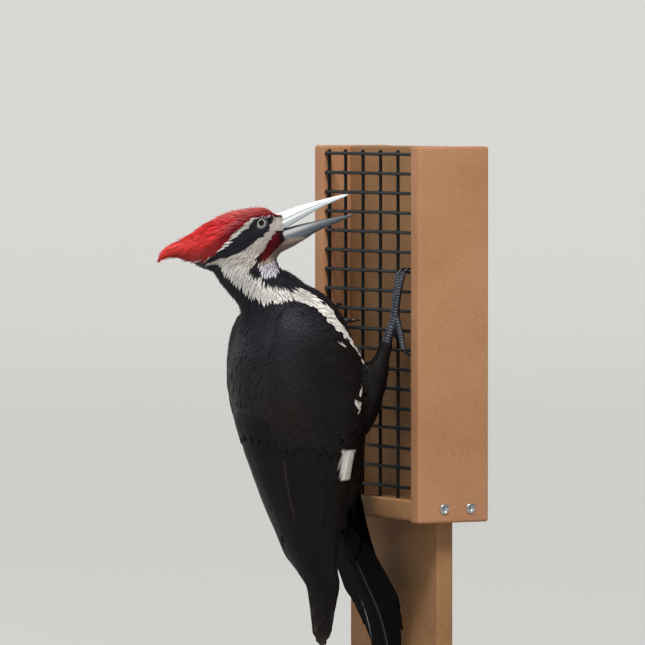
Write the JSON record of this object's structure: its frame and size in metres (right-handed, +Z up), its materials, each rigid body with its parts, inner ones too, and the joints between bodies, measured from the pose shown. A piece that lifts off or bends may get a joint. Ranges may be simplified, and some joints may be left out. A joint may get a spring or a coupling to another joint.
{
  "type": "pileated woodpecker model",
  "caption": "Life-size male pileated woodpecker clinging to a cut length of wire-fronted feeder, bill open, on a plain display stand.",
  "frame": {"origin": "centre of the underside of the stand's base", "axes": "+Z up, +X from the bird's back towards the perch, +Y to the bird's left"},
  "size_m": [0.2387, 0.184, 0.421],
  "materials": {
    "black_plumage": "matt, faintly glossy black feathers, with white wing patches and edges",
    "white_plumage": "matt white feathers, with black and dark red stripes",
    "red_crest": "matt bright red feathers",
    "bill_horn": "satin pale grey horn",
    "eye": "glossy pale yellow iris with a black pupil",
    "leg_scale": "satin blue-grey scales",
    "claw_horn": "satin dark horn",
    "composite_board": "speckled matt brown recycled board",
    "coated_wire": "satin near-black plastic coat on wire",
    "steel": "satin",
    "stand_wood": "satin dark stained wood"
  },
  "bodies": {
    "root": {"trunk": "black_plumage", "wing_left": "black_plumage", "wing_right": "black_plumage", "tail": "black_plumage", "thigh_left": "black_plumage", "thigh_right": "black_plumage", "head": "white_plumage", "neck": "white_plumage", "crest": "red_crest", "upper_bill": "bill_horn", "lower_bill": "bill_horn", "eye_left": "eye", "eye_right": "eye", "shank_left": "leg_scale", "shank_right": "leg_scale", "foot_left": "leg_scale", "foot_right": "leg_scale", "claw_left_inner_front": "claw_horn", "claw_left_outer_front": "claw_horn", "claw_left_outer_hind": "claw_horn", "claw_left_hallux": "claw_horn", "claw_right_inner_front": "claw_horn", "claw_right_outer_front": "claw_horn", "claw_right_outer_hind": "claw_horn", "claw_right_hallux": "claw_horn", "perch_tail_prop": "composite_board", "perch_side_left": "composite_board", "perch_side_right": "composite_board", "perch_rail_front": "composite_board", "perch_rail_back": "composite_board", "perch_rail_top": "composite_board", "perch_wires": "coated_wire", "perch_screw_left_front": "steel", "perch_screw_left_back": "steel", "perch_screw_right_front": "steel", "perch_screw_right_back": "steel", "stand_rod_left": "steel", "stand_rod_right": "steel", "stand_base": "stand_wood"}
  },
  "joints": []
}
